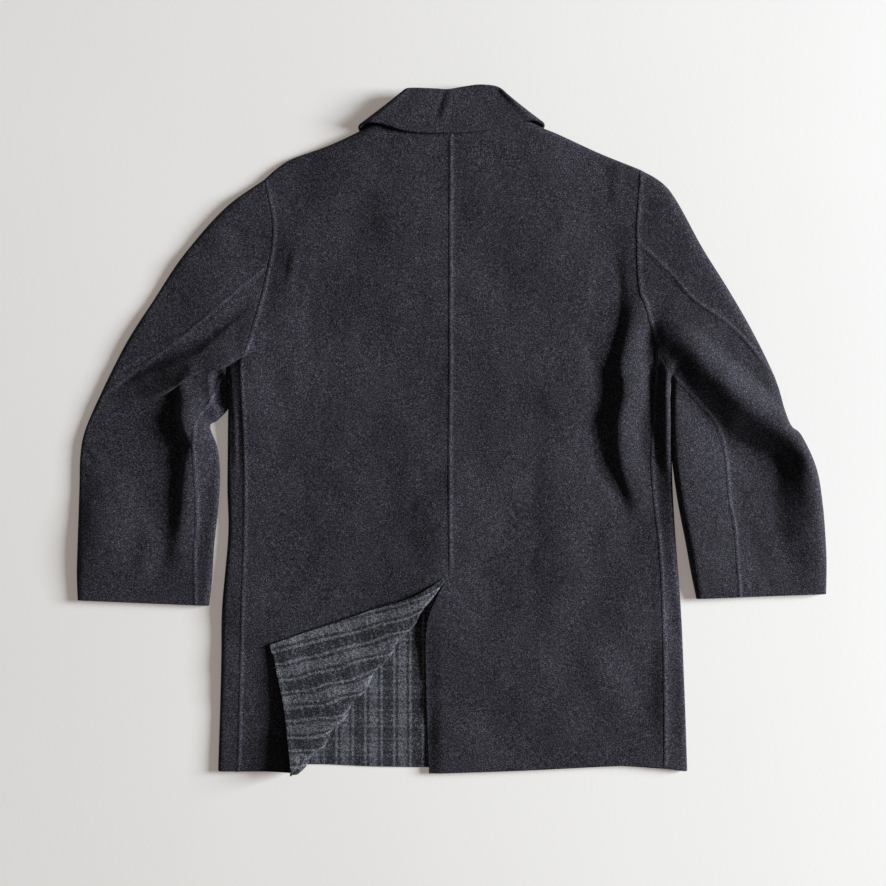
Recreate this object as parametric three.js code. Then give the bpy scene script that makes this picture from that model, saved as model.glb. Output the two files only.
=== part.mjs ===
import * as THREE from "three";

// A man's wool coat laid face down, seen from the back. Millimetres: X across the back towards the
// wearer's right, Y from hem to collar, Z up from the table. The middle surface of each piece of
// cloth is worked out first and then given its thickness.
const cloth = 2.5; // double-faced wool coating
const seamGap = 0.3;
const layer = cloth + 0.4; // from the middle of one layer to the middle of the next, lying on it
const tableMid = cloth / 2; // middle of the cloth that lies on the table
const flatRise = 7.7; // middle of the upper layer over the back
const neckRise = 13.5; // and round the neck, where the collar lies underneath as well
const endRise = 7.2; // middle of the upper layer at hem and cuffs
const widestRoll = 15; // furthest that a folded edge is still rounding over
const frontOverlap = { left: 28, right: -20 }; // where each front ends, past the centre line

const rowsBelow = 12; // rows of the body from hem to armpit
const rowsAbove = 5; // from armpit to shoulder, between the rows that round the edges
const rollSteps = [0, 0.14, 0.5, 1]; // part of the roll at each row that rounds an edge
const stripSteps = [0, 0.18, 0.4, 0.68, 1]; // across a strip from a folded edge to a seam
const shoulderColumns = 9;
const neckColumns = 4;

const wool = new THREE.MeshStandardMaterial({ color: 0x2d2c32, roughness: 0.95, metalness: 0 });

const table = (names, rows) =>
  rows.map((row) => Object.fromEntries(names.split(" ").map((name, i) => [name, row[i]])));
const spline = (rows) => new THREE.SplineCurve(table("x y", rows).map(({ x, y }) => new THREE.Vector2(x, y)));

// Each side of the coat: folded edges and seams, from hem or cuff upwards.
const sides = {
  left: {
    sideEdge: [
      [-298, -438], [-294, -304], [-293, -232], [-285, -135], [-286, -70], [-285, 20], [-284, 60], [-287, 78],
    ],
    sideSeam: [[-275, -438], [-269, -213], [-267, -141], [-266, -70], [-268, 20], [-271, 87]],
    backArmhole: [[-271, 87], [-259, 119], [-243, 176], [-231, 234], [-230, 268], [-235, 295], [-240, 319]],
    frontArmhole: [[-287, 78], [-262, 112], [-236, 170], [-226, 235], [-231, 285], [-240, 319]],
    shoulder: [[-240, 319], [-222, 335], [-202, 347], [-156, 363], [-116, 381.5], [-90, 396]],
    backNeck: [[-90, 396], [-60, 399], [-30, 396], [-4, 395]],
    frontNeck: [[-90, 396], [-72, 352], [-40, 322], [frontOverlap.left, 312]],
    frontHem: [[-298, -438], [-187, -430], [-93, -433], [frontOverlap.left, -434]],
    // The sleeve's rings, armhole to cuff: outer edge and inner edge.
    rings: table("outX outY inX inY", [
      [-240, 319, -287, 78], [-291, 281, -294, 66], [-343, 222, -292, 52], [-383, 162, -290.5, 39],
      [-417, 108, -291, 27], [-449, 44, -300, 14], [-469, -2, -310, 4], [-475, -35, -301, -24],
      [-476, -70, -298, -58], [-477, -110, -300, -98], [-478, -150, -305, -145],
      [-479, -187, -308, -190], [-478, -219, -312, -226],
    ]),
    backSeam: [[-239, 211], [-341, 124], [-373, 103], [-449, 44]],
    backSeamRing: 5, // the ring where the back seam reaches the outer edge
    collar: {
      backRoll: [[-63, 429], [-54, 433], [-35, 433], [-4, 432]],
      backEdge: [[-119, 387], [-104, 390], [-89, 388], [-53, 378], [-4, 377]],
      frontRoll: [[-63, 429], [-44, 380], [-4, 340]],
      frontEdge: [[-119, 387], [-101, 322], [-58, 262]],
    },
    underSeam: [
      [-287, 78], [-300, 62], [-311, 35], [-325, 13], [-327, -25], [-327, -111], [-331, -159], [-330, -230],
    ],
  },
  right: {
    sideEdge: [
      [301, -438], [296, -298], [293, -232], [286, -143], [281, -62], [279, 20], [278, 52], [280, 68],
    ],
    sideSeam: [[271, -434], [269, -260], [264, -153], [254, -47], [257, 20], [262, 108]],
    backArmhole: [[262, 108], [254, 131], [246, 158], [238, 182], [235, 249], [237, 290], [240, 332]],
    frontArmhole: [[280, 68], [258, 112], [234, 170], [228, 240], [233, 290], [240, 332]],
    shoulder: [[240, 332], [187, 354], [139, 376], [112, 387], [92, 399]],
    backNeck: [[92, 399], [60, 400], [28, 396], [-4, 395]],
    frontNeck: [[92, 399], [74, 352], [42, 322], [frontOverlap.right, 312]],
    frontHem: [[301, -438], [190, -431], [90, -433], [frontOverlap.right, -434]],
    rings: table("outX outY inX inY", [
      [240, 332, 280, 68], [278, 305, 286, 56], [320, 232, 283.5, 36], [355, 175, 283, 16],
      [387, 119, 283.5, -6], [416, 60, 284.5, -30], [444, -6, 286.5, -56], [465, -55, 289, -84],
      [473, -95, 294, -112], [477, -134, 300, -142], [479, -172, 307, -180], [479, -211, 315, -217],
    ]),
    backSeam: [[239, 234], [276, 200], [308, 163], [359, 126], [416, 60]],
    backSeamRing: 5,
    collar: {
      backRoll: [[72, 424], [57, 436], [33, 438], [-4, 432]],
      backEdge: [[119, 390], [103, 394], [91, 392], [40, 380], [-4, 377]],
      frontRoll: [[72, 424], [46, 380], [4, 340]],
      frontEdge: [[119, 390], [101, 322], [60, 262]],
    },
    underSeam: [[280, 68], [312, 34], [339, 2], [348, -36], [352, -90], [360, -132], [367, -230]],
  },
};
const centreBack = [[-4, -186], [-5, -60], [-4, 120], [-4, 395]];
const rightVentEdge = [[-29, -441], [-33, -327], [-31, -245], [-4, -186]];
const backHem = {
  left: [[-275, -438], [-235, -438], [-204, -440]],
  right: [[271, -434], [221, -431], [91, -437], [-29, -441]],
};

// The corner of the left back turned over at the vent, hem to the vent's top: the folded edge, the
// free edge across from it, how round the fold is and how high the free edge floats.
const turnedCorner = table("foldX foldY freeX freeY round lift", [
  [-196, -438, -203, -439, 8.5, 16], [-174, -413, -208, -399, 7.8, 11], [-151, -384, -216, -343, 6.9, 7],
  [-129, -354, -233, -274, 5.8, 4.5], [-106, -323, -186, -258, 4.7, 4.5], [-79, -286, -139, -243, 3.8, 4.5],
  [-52, -251, -93, -227, 2.8, 4.5], [-27, -217, -48, -213, 2.1, 4.5], [-4, -186, -4, -186, 0, 0],
]);
const ventRows = turnedCorner.length - 1;

// Big folds of the upper layer: height, and how far each falls away on its left and right hand.
const folds = [
  { // left side's ridge
    height: 6, left: 55, right: 16,
    path: [[-256, -180], [-258, -60], [-262, 40], [-262, 110]],
  },
  { // left sleeve's roll at the underarm
    height: 20, left: 13, right: 42,
    path: [[-252, 124], [-290, 103], [-335, 86], [-372, 57], [-420, 32]],
  },
  { // inner edge of the left sleeve's hollow
    height: 15, left: 34, right: 12,
    path: [[-349, -150], [-338, -95], [-326, -35], [-322, 0], [-332, 48]],
  },
  { // right back's long fold
    height: 14, left: 26, right: 30,
    path: [[246, -112], [226, -72], [215, -30], [215, 10], [222, 55], [222, 90], [230, 140], [234, 200]],
  },
  { // right side's fold
    height: 11, left: 18, right: 10,
    path: [[270, -90], [270, -20], [270, 30], [268, 90]],
  },
  { // right sleeve's roll at the underarm
    height: 19, left: 46, right: 48,
    path: [[262, 150], [318, 122], [372, 70], [425, 10], [452, -50]],
  },
  { // right sleeve's outer edge
    height: 7, left: 20, right: 36,
    path: [[440, -20], [458, -80], [462, -140], [464, -225]],
  },
  { // left back beside the armhole
    height: 4, left: 30, right: 40,
    path: [[-215, 40], [-212, 140], [-205, 250]],
  },
];

const clamp01 = (v) => Math.min(1, Math.max(0, v));
const smooth = (v, from, to) => {
  const t = clamp01((v - from) / (to - from));
  return t * t * (3 - 2 * t);
};

// The nearest place on a path: how far off it (left hand positive) and how far along it.
function beside(path, x, y) {
  let best = { off: Infinity, along: 0 };
  for (let i = 0; i + 1 < path.length; i++) {
    const [ax, ay] = path[i];
    const dx = path[i + 1][0] - ax;
    const dy = path[i + 1][1] - ay;
    const t = clamp01(((x - ax) * dx + (y - ay) * dy) / (dx * dx + dy * dy));
    const ex = x - ax - t * dx;
    const ey = y - ay - t * dy;
    const off = Math.hypot(ex, ey);
    const along = (i + t) / (path.length - 1);
    if (off < Math.abs(best.off)) best = { off: dx * ey - dy * ex < 0 ? -off : off, along };
  }
  return best;
}

// Height of the middle of the upper layer, before its edges round over.
function rise(x, y) {
  const out = Math.abs(x);
  const onSleeve = smooth(out, 285, 300);
  let z = flatRise + 5 * smooth(out, 190, 300) * smooth(y, -60, 80);
  z += (neckRise - flatRise) * smooth(y, 130, 270) * smooth(out, 200, 110);
  for (const { path, height, left, right } of folds) {
    const { off, along } = beside(path, x, y);
    const across = clamp01(1 - (off / (off > 0 ? left : right)) ** 2) ** 1.5;
    z += height * across * smooth(along, -0.02, 0.3) * smooth(along, 1.02, 0.78);
  }
  const fromEnd = onSleeve > 0 && y > -300 ? y + 226 : y + 441;
  return endRise + (z - endRise) * smooth(fromEnd, -10, 110);
}

// The coat's whole outline, and the folded edges on it where the two layers join.
const edgePoints = (rows, n = 60) => spline(rows).getSpacedPoints(n).map(({ x, y }) => [x, y]);
const foldedEdges = [];
for (const side of Object.values(sides)) {
  foldedEdges.push(edgePoints(side.sideEdge), edgePoints(side.shoulder));
  foldedEdges.push(edgePoints(side.rings.map((r) => [r.outX, r.outY])));
  foldedEdges.push(edgePoints(side.rings.map((r) => [r.inX, r.inY])));
}
const beyondEnds = ([x, y]) => (y > 300 ? [0.6 * x, y + 30] : [x, y - 20]);
const outline = [
  beyondEnds(foldedEdges[0][0]), ...foldedEdges[0], ...foldedEdges[3], beyondEnds(foldedEdges[3].at(-1)),
  beyondEnds(foldedEdges[2].at(-1)), ...foldedEdges[2].toReversed(), ...foldedEdges[1],
  beyondEnds(foldedEdges[1].at(-1)), beyondEnds(foldedEdges[5].at(-1)), ...foldedEdges[5].toReversed(),
  ...foldedEdges[6], beyondEnds(foldedEdges[6].at(-1)),
  beyondEnds(foldedEdges[7].at(-1)), ...foldedEdges[7].toReversed(),
  ...foldedEdges[4].toReversed(), beyondEnds(foldedEdges[4][0]),
];
function isInside(x, y) {
  let inside = false;
  outline.forEach(([ax, ay], i) => {
    const [bx, by] = outline[(i + 1) % outline.length];
    if (ay > y !== by > y && x < ax + ((y - ay) / (by - ay)) * (bx - ax)) inside = !inside;
  });
  return inside;
}
function depth(x, y) {
  let least = Infinity;
  for (const edge of foldedEdges) least = Math.min(least, Math.abs(beside(edge, x, y).off));
  return isInside(x, y) ? least : -least;
}

// A point of the upper (1) or lower (-1) layer with the direction that its outer face looks in.
function onCoat(which, [x, y], onEdge = false) {
  const high = rise(x, y);
  const half = (high - tableMid) / 2;
  const round = Math.min(widestRoll, Math.max(2, (half * half) / 1.6));
  const inward = onEdge ? 0 : Math.max(0, depth(x, y));
  const left = 1 - Math.min(1, inward / round);
  const lift = Math.sqrt(1 - left * left);
  const step = 1.5;
  const slope = (f) =>
    [f(x + step, y) - f(x - step, y), f(x, y + step) - f(x, y - step)].map((d) => d / (2 * step));
  const [gx, gy] = left > 0 ? slope(depth) : [0, 0];
  const g = Math.hypot(gx, gy) || 1;
  const [hx, hy] = which > 0 ? slope(rise) : [0, 0];
  const normal = new THREE.Vector3(
    (-half * left * gx) / g / round - lift * lift * hx,
    (-half * left * gy) / g / round - lift * lift * hy,
    which * lift,
  ).normalize();
  const z = tableMid + half * (1 + which * lift) + (which < 0 ? underLift(x, y) * lift : 0);
  return { point: new THREE.Vector3(x, y, z), normal };
}

// The fronts lie over the front ends of the collar, which lie on the table.
function underLift(x, y) {
  return layer * smooth(y, 205, 258) * smooth(Math.abs(x), 160, 118);
}

// One solid of even thickness from patches of its middle surface: rows of { point, normal }.
function wall(name, patches) {
  const corners = [];
  const byPlace = new Map();
  const idOf = (corner) => {
    const key = corner.point.toArray().map((v) => v.toFixed(3)).join();
    if (!byPlace.has(key)) byPlace.set(key, corners.push(corner) - 1);
    return byPlace.get(key);
  };
  const faces = [];
  for (const rows of patches) {
    const ids = rows.map((row) => row.map(idOf));
    const made = [];
    for (let r = 0; r + 1 < ids.length; r++)
      for (let c = 0; c + 1 < ids[r].length; c++) {
        const [a, b, d, e] = [ids[r][c], ids[r][c + 1], ids[r + 1][c + 1], ids[r + 1][c]];
        made.push([a, b, d], [a, d, e]);
      }
    const sound = made.filter(([a, b, c]) => a !== b && b !== c && a !== c);
    let facing = 0;
    for (const [a, b, c] of sound) {
      const u = corners[b].point.clone().sub(corners[a].point);
      const v = corners[c].point.clone().sub(corners[a].point);
      facing += u.cross(v).dot(corners[a].normal);
    }
    faces.push(...(facing < 0 ? sound.map(([a, b, c]) => [a, c, b]) : sound));
  }
  const count = corners.length;
  const spots = [];
  for (const way of [cloth / 2, -cloth / 2])
    for (const { point, normal } of corners) spots.push(...point.clone().addScaledVector(normal, way));
  const index = [];
  const directed = new Set();
  for (const [a, b, c] of faces) {
    index.push(a, b, c, c + count, b + count, a + count);
    for (const [from, to] of [[a, b], [b, c], [c, a]]) directed.add(from * count + to);
  }
  for (const edge of directed) {
    const from = Math.floor(edge / count);
    const to = edge % count;
    if (directed.has(to * count + from)) continue;
    // Pieces that meet at a seam cut the quads of their rims the same way.
    const [p, q] = [from, to].map((i) => corners[i].point.y - 0.4 * Math.abs(corners[i].point.x));
    if (p < q) index.push(to, from, from + count, to, from + count, to + count);
    else index.push(to, from, to + count, from, from + count, to + count);
  }
  const geometry = new THREE.BufferGeometry();
  geometry.setAttribute("position", new THREE.Float32BufferAttribute(spots, 3));
  geometry.setIndex(index);
  const mesh = new THREE.Mesh(geometry, wool);
  mesh.name = name;
  return mesh;
}

// Draws a patch's border back from a seam by half the seam's gap, along the surface.
function drawBack(border, next) {
  const across = border.map(({ point, normal }, i) => {
    const before = border[Math.max(0, i - 1)].point;
    const after = border[Math.min(border.length - 1, i + 1)].point;
    return after.clone().sub(before).cross(normal).normalize();
  });
  const toNext = border.map(({ point }, i) => next[i].point.clone().sub(point).normalize());
  const inwards = across.reduce((sum, way, i) => sum + way.dot(toNext[i]), 0);
  const by = (Math.sign(inwards) * seamGap) / 2;
  return border.map(({ point, normal }, i) => {
    return { normal, point: point.clone().addScaledVector(across[i], by) };
  });
}
const column = (rows, c) => rows.map((row) => row.at(c));
function trimmed(rows, borders) {
  let out = rows.map((row) => [...row]);
  const swap = (c, border) => out.forEach((row, r) => row.splice(c < 0 ? row.length - 1 : 0, 1, border[r]));
  if (borders.includes("first column")) swap(0, drawBack(column(out, 0), column(rows, 1)));
  if (borders.includes("last column")) swap(-1, drawBack(column(out, -1), column(rows, -2)));
  if (borders.includes("first row")) out[0] = drawBack(out[0], rows[1]);
  if (borders.includes("last row")) out[out.length - 1] = drawBack(out.at(-1), rows.at(-2));
  return out;
}

// Stations along the armhole, 0 at the armpit and 1 at the shoulder, close together where it rolls.
function armholeStations(length) {
  const rollPart = widestRoll / length;
  const even = [...Array(rowsAbove - 1)].map((_, i) => rollPart + ((1 - 2 * rollPart) * (i + 1)) / rowsAbove);
  const rolling = rollSteps.map((s) => s * rollPart);
  return [...rolling, ...even, ...rolling.map((s) => 1 - s).reverse()];
}
const lowStations = [...Array(rowsBelow + 1)].map((_, i) => i / rowsBelow);
const at = (curve, t) => {
  const { x, y } = curve.getPointAt(clamp01(t));
  return [x, y];
};
const between = (a, b, t) => [a[0] + (b[0] - a[0]) * t, a[1] + (b[1] - a[1]) * t];

// A net of points across four border lines: first and last column, bottom and top row.
function net(first, last, bottom, top) {
  const height = (r) => (first[r][1] - first[0][1]) / (first.at(-1)[1] - first[0][1]);
  const reach = (c) => Math.hypot(top[c][0] - top[0][0], 0.3 * (top[c][1] - top[0][1]));
  return first.map((_, r) => {
    const v = height(r);
    return bottom.map((__, c) => {
      const u = reach(c) / reach(top.length - 1);
      return [0, 1].map((k) => {
        const straight = (1 - u) * first[r][k] + u * last[r][k] + (1 - v) * bottom[c][k] + v * top[c][k];
        const corners = (1 - v) * ((1 - u) * first[0][k] + u * last[0][k]);
        return straight - corners - v * ((1 - u) * first.at(-1)[k] + u * last.at(-1)[k]);
      });
    });
  });
}

function sideOf(name) {
  const side = sides[name];
  const lines = "sideEdge sideSeam backArmhole frontArmhole shoulder backNeck frontNeck frontHem".split(" ");
  const curve = Object.fromEntries(lines.map((line) => [line, spline(side[line])]));
  const up = armholeStations(curve.backArmhole.getLength());
  const topLine = (neck) => [
    ...[...Array(shoulderColumns)].map((_, i) => at(curve.shoulder, i / shoulderColumns)),
    ...[...Array(neckColumns + 1)].map((_, i) => at(neck, i / neckColumns)),
  ];
  return { name, side, curve, up, topLine };
}

// Rows of a border that goes from hem to armpit to shoulder.
const outerLine = (low, high, up) => [
  ...lowStations.map((t) => at(low, t)),
  ...up.slice(1).map((t) => at(high, t)),
];
const span = (a, b) => Math.hypot(b[0] - a[0], b[1] - a[1]);
const lengthsOf = (line) => {
  const sums = [0];
  for (let i = 1; i < line.length; i++) sums.push(sums.at(-1) + span(line[i - 1], line[i]));
  return sums.map((s) => s / sums.at(-1));
};

// Rows along the centre seam, level with those of the left back's side, from the vent's top up.
const leftHeights = outerLine(
  spline(sides.left.sideSeam), spline(sides.left.backArmhole), armholeStations(260),
).map(([, y]) => y);
const centreStations = leftHeights.map((y) =>
  clamp01((y - leftHeights[ventRows]) / (leftHeights.at(-1) - leftHeights[ventRows])),
);

function backPiece({ name, curve, up, topLine }) {
  const first = outerLine(curve.sideSeam, curve.backArmhole, up);
  const centre = spline(centreBack);
  const vent = spline(rightVentEdge);
  const last = first.map((_, r) => {
    if (r >= ventRows) return at(centre, centreStations[r]);
    if (name === "right") return at(vent, r / ventRows);
    return [turnedCorner[r].foldX - turnedCorner[r].round, turnedCorner[r].foldY];
  });
  const top = topLine(curve.backNeck);
  const hem = spline([...backHem[name], last[0]]);
  const bottom = lengthsOf(top).map((t) => at(hem, t));
  const plan = net(first, last, bottom, top);
  const isShoulder = (r, c) => r === plan.length - 1 && c <= shoulderColumns;
  return plan.map((row, r) => row.map((place, c) => onCoat(1, place, isShoulder(r, c))));
}

// Directions that the faces of a freely shaped patch look in, from its neighbouring points.
function faced(rows) {
  return rows.map((row, r) =>
    row.map((spot, c) => {
      if (spot.normal) return spot;
      const [above, below] = [rows[Math.max(r - 1, 0)], rows[Math.min(r + 1, rows.length - 1)]];
      const down = below[c].point.clone().sub(above[c].point);
      const over = row[Math.min(c + 1, row.length - 1)].point.clone().sub(row[Math.max(c - 1, 0)].point);
      return { point: spot.point, normal: over.cross(down).normalize() };
    }),
  );
}

// The turned corner goes on from the last column of the left back, round the fold and back over it.
function turnedPart(edge) {
  const rows = turnedCorner.map(({ foldX, foldY, freeX, freeY, round, lift }, r) => {
    if (!round) return Array(13).fill(edge[r]);
    const low = edge[r].point.z;
    const bend = [-60, -30, 0, 30, 60, 90].map((degrees) => {
      const turn = (degrees * Math.PI) / 180;
      return [foldX - round + round * Math.cos(turn), foldY, low + round + round * Math.sin(turn)];
    });
    const lying = [1, 2, 3, 4, 5, 6].map((i) => {
      const [x, y] = between([foldX - round, foldY], [freeX, freeY], i / 6);
      return [x, y, low + 2 * round + (rise(x, y) + lift - low - 2 * round) * smooth(i / 6, 0, 1)];
    });
    return [edge[r], ...[...bend, ...lying].map((p) => ({ point: new THREE.Vector3(...p) }))];
  });
  return faced(rows);
}

function frontPiece({ name, curve, up, topLine }) {
  const first = outerLine(curve.sideEdge, curve.frontArmhole, up);
  const edgeX = frontOverlap[name];
  const top = topLine(curve.frontNeck);
  const [hemY, neckY] = [curve.frontHem.points.at(-1).y, curve.frontNeck.points.at(-1).y];
  const level = (y) => (y - first[0][1]) / (first.at(-1)[1] - first[0][1]);
  const last = first.map(([, y]) => [edgeX, hemY + (neckY - hemY) * level(y)]);
  const bottom = lengthsOf(top).map((t) => at(curve.frontHem, t));
  const plan = net(first, last, bottom, top);
  const over = (x) => (name === "right" ? layer * smooth(x, 88, 48) : 0);
  const isFolded = (r, c) => (c === 0 && r <= rowsBelow) || (r === plan.length - 1 && c <= shoulderColumns);
  const rows = plan.map((row, r) =>
    row.map((place, c) => {
      const spot = onCoat(-1, place, isFolded(r, c));
      spot.point.z += over(place[0]);
      return spot;
    }),
  );
  const strip = lowStations.map((t, r) =>
    stripSteps.map((s) => (s ? onCoat(1, between(first[r], at(curve.sideSeam, t), s)) : rows[r][0])),
  );
  return { rows, strip };
}

// Where the straight line from a to b meets a path, as a part of its length.
function crossing(a, b, path) {
  for (let i = 0; i + 1 < path.length; i++) {
    const [p, q] = [path[i], path[i + 1]];
    const [dx, dy, ex, ey] = [b[0] - a[0], b[1] - a[1], q[0] - p[0], q[1] - p[1]];
    const cross = dx * ey - dy * ex;
    const along = ((p[0] - a[0]) * ey - (p[1] - a[1]) * ex) / cross;
    const on = ((p[0] - a[0]) * dy - (p[1] - a[1]) * dx) / cross;
    if (on >= -0.02 && on <= 1.02 && along > 0 && along < 1) return along;
  }
  return null;
}

function sleevePieces({ name, side, curve, up }, strip) {
  const { rings, backSeam, underSeam, backSeamRing } = side;
  const down = [...up].reverse();
  const stripTop = strip.at(-1).slice(0, -1).reverse();
  const underarm = stripTop.map(({ point }) => [point.x, point.y]);
  const topStart = [...down.map((t) => at(curve.backArmhole, t)), ...underarm];
  const underStart = down.map((t) => at(curve.frontArmhole, t));
  const topShares = lengthsOf(topStart);
  const underShares = lengthsOf(underStart);
  const away = topStart.map((p) => span(p, backSeam[0]));
  const split = away.indexOf(Math.min(...away));
  const place = (k, start, shares, j, share) => {
    if (k === 0) return start[j];
    const { outX, outY, inX, inY } = rings[k];
    const [x, y] = between([outX, outY], [inX, inY], share);
    const bow = [1, 0.25, 0.1][k] ?? 0;
    const chord = between(start[0], start.at(-1), shares[j]);
    return [x + bow * (start[j][0] - chord[0]), y + bow * (start[j][1] - chord[1])];
  };
  const seamAt = (k, path) => crossing([rings[k].outX, rings[k].outY], [rings[k].inX, rings[k].inY], path);
  const backPath = [topStart[split], ...backSeam.slice(1)];
  const outer = [], under = [], below = [], inner = [];
  rings.forEach((_, k) => {
    const a1 = k === 0 ? topShares[split] : k >= backSeamRing ? 0 : seamAt(k, backPath);
    const a2 = k === 0 ? 1 : (seamAt(k, underSeam) ?? 1);
    const share = (j) => {
      if (j <= split) return (a1 * topShares[j]) / topShares[split];
      return a1 + ((a2 - a1) * (topShares[j] - topShares[split])) / (1 - topShares[split]);
    };
    const onLayer = (which, start, shares, part) => start.map((__, j) =>
      onCoat(which, place(k, start, shares, j, part(j)), part(j) === 0 || part(j) === 1));
    const top = onLayer(1, topStart, topShares, share);
    const low = onLayer(-1, underStart, underShares, (j) => underShares[j]);
    outer.push(top.slice(0, split + 1));
    under.push(top.slice(split));
    below.push(low);
    const innerPlace = (s) => place(k, topStart, topShares, topStart.length - 1, 1 - s * (1 - a2));
    inner.push(stripSteps.map((s) => (s && k ? onCoat(1, innerPlace(s)) : low.at(-1))));
  });
  const lower = trimmed(below, ["first row"]);
  const folded = drawBack(column(lower, 0), column(lower, 1));
  rings.forEach((_, k) => k >= backSeamRing && (lower[k][0] = folded[k]));
  const outerPart = trimmed(outer.slice(0, backSeamRing + 1), ["last column", "first row"]);
  outerPart[backSeamRing] = outerPart[backSeamRing].map(() => lower[backSeamRing][0]);
  outerPart.forEach((row, k) => (row[0] = lower[k][0]));
  const innerPart = trimmed(inner, ["last column"]);
  innerPart[0] = innerPart[0].map(() => lower[0].at(-1));
  innerPart.forEach((row, k) => (row[0] = lower[k].at(-1)));
  return [
    wall("top_sleeve_" + name, [lower, outerPart, innerPart]),
    wall("under_sleeve_" + name, [trimmed(under, ["first column", "last column", "first row"])]),
  ];
}

// The collar: round the neck from one front end to the other, each station from the neck seam up the
// stand, over the roll and down the fall.
function collarPiece(left, right) {
  const radius = { back: 3.5, side: 3, front: layer / 2 };
  const station = ({ curve, side }, part, t, share, isSide = false) => {
    const isBack = part === "back";
    const rollPoint = at(spline(side.collar[part + "Roll"]), share);
    const edgePoint = at(spline(side.collar[part + "Edge"]), share);
    const start = onCoat(isBack ? 1 : -1, at(isBack ? curve.backNeck : curve.frontNeck, t), t === 0);
    const seam = [start.point.x, start.point.y];
    const round = isSide ? radius.side : radius[part];
    const inset = between(rollPoint, seam, round / span(rollPoint, seam));
    const seamZ = start.point.z;
    const standZ = isSide ? seamZ : isBack ? rise(...seam) : tableMid + layer;
    const turnUp = isSide ? 0 : isBack ? round : -round;
    const stand = [0.35, 0.7, 1].map((s) => [
      ...between(seam, inset, s), seamZ + (standZ - seamZ) * smooth(s, 0, 0.7),
    ]);
    const bend = [-45, 0, 45].map((degrees) => {
      const turn = (degrees * Math.PI) / 180;
      const out = isSide ? 0.5 + degrees / 120 : Math.cos(turn);
      return [...between(inset, rollPoint, out), standZ + turnUp * (1 + Math.sin(turn))];
    });
    const fallZ = standZ + 2 * turnUp;
    const endZ = isSide ? seamZ : isBack ? rise(...edgePoint) + layer + 0.5 : tableMid;
    const fallFrom = isSide ? rollPoint : inset;
    const fall = [0, 0.3, 0.65, 1].map((s) => [
      ...between(fallFrom, edgePoint, s), fallZ + (endZ - fallZ) * smooth(s, 0, 1),
    ]);
    start.normal.negate(); // the stand shows its other face where the fall shows its outer one
    return [start, ...[...stand, ...bend, ...fall].map((p) => ({ point: new THREE.Vector3(...p) }))];
  };
  const steps = [...Array(neckColumns)].map((_, i) => i / neckColumns).slice(1);
  const half = (side) => [
    ...steps.toReversed().map((t) => station(side, "front", t, (t * neckColumns) / (neckColumns - 1))),
    station(side, "front", 0, 0.07),
    station(side, "back", 0, 0, true),
    station(side, "back", 0, 0.1),
    ...steps.map((t) => station(side, "back", t, t)),
  ];
  const rows = faced([...half(left), station(left, "back", 1, 1), ...half(right).reverse()]);
  // The three stations that fold round at each neck point start from one place on the seam.
  const places = rows.map(([start]) => start.point.toArray().join());
  const single = rows.filter((_, r) => places.indexOf(places[r]) === r);
  const seam = drawBack(column(single, 0), column(single, 1));
  const starts = rows.map((_, r) => seam[single.indexOf(rows[places.indexOf(places[r])])]);
  rows.forEach((row, r) => (row[0] = starts[r]));
  return wall("collar", [rows]);
}

const group = new THREE.Group();
group.name = "chore_coat";
const halves = {};
for (const name of ["left", "right"]) {
  const side = sideOf(name);
  halves[name] = side;
  const back = trimmed(backPiece(side), ["first column", "last row"]);
  const centre = drawBack(column(back, -1), column(back, -2));
  const firstSewn = name === "left" ? ventRows + 1 : ventRows;
  for (let r = firstSewn; r < back.length; r++) back[r][back[r].length - 1] = centre[r];
  group.add(wall("back_" + name, name === "left" ? [back, turnedPart(column(back, -1))] : [back]));
  const front = frontPiece(side);
  const body = trimmed(front.rows, ["last row"]);
  const strip = trimmed(front.strip, ["last column", "last row"]);
  const round = [front.strip.at(-1)[1], ...column(body, 0).slice(rowsBelow)];
  const armhole = drawBack(round, [round[1], ...column(body, 1).slice(rowsBelow)]).slice(1);
  armhole.forEach((spot, i) => (body[rowsBelow + i][0] = spot));
  strip.at(-1)[0] = armhole[0];
  group.add(wall("front_" + name, [body, strip]));
  group.add(...sleevePieces(side, front.strip));
}
group.add(collarPiece(halves.left, halves.right));
export default group;
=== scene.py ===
# A man's wool coat laid face down on a pale floor, lit softly from the right and seen from above.
import math

import bpy
import numpy as np
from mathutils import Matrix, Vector
from mathutils.kdtree import KDTree


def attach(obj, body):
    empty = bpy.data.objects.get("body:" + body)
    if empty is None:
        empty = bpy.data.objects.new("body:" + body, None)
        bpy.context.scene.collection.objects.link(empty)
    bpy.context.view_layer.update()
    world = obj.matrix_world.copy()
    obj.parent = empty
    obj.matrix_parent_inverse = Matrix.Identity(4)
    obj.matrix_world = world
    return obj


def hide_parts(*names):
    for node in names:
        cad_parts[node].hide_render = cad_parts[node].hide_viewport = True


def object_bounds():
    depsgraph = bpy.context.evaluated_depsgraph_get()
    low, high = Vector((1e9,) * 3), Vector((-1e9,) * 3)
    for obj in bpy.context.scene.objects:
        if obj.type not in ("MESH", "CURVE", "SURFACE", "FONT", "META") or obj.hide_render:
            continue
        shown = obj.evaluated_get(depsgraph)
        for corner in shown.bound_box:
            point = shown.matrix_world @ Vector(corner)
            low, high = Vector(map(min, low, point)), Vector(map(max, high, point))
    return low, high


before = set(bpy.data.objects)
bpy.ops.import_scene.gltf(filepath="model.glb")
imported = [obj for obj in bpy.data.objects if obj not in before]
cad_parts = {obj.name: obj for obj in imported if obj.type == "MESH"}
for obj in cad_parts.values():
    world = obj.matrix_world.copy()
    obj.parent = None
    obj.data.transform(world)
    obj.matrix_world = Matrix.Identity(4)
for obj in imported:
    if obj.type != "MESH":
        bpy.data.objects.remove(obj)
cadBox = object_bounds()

# The tables below are in millimetres from the middle of the coat, y from 441 mm above its lowest hem.
low, high = cadBox
unit = (high.x - low.x) / 960.5
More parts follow.
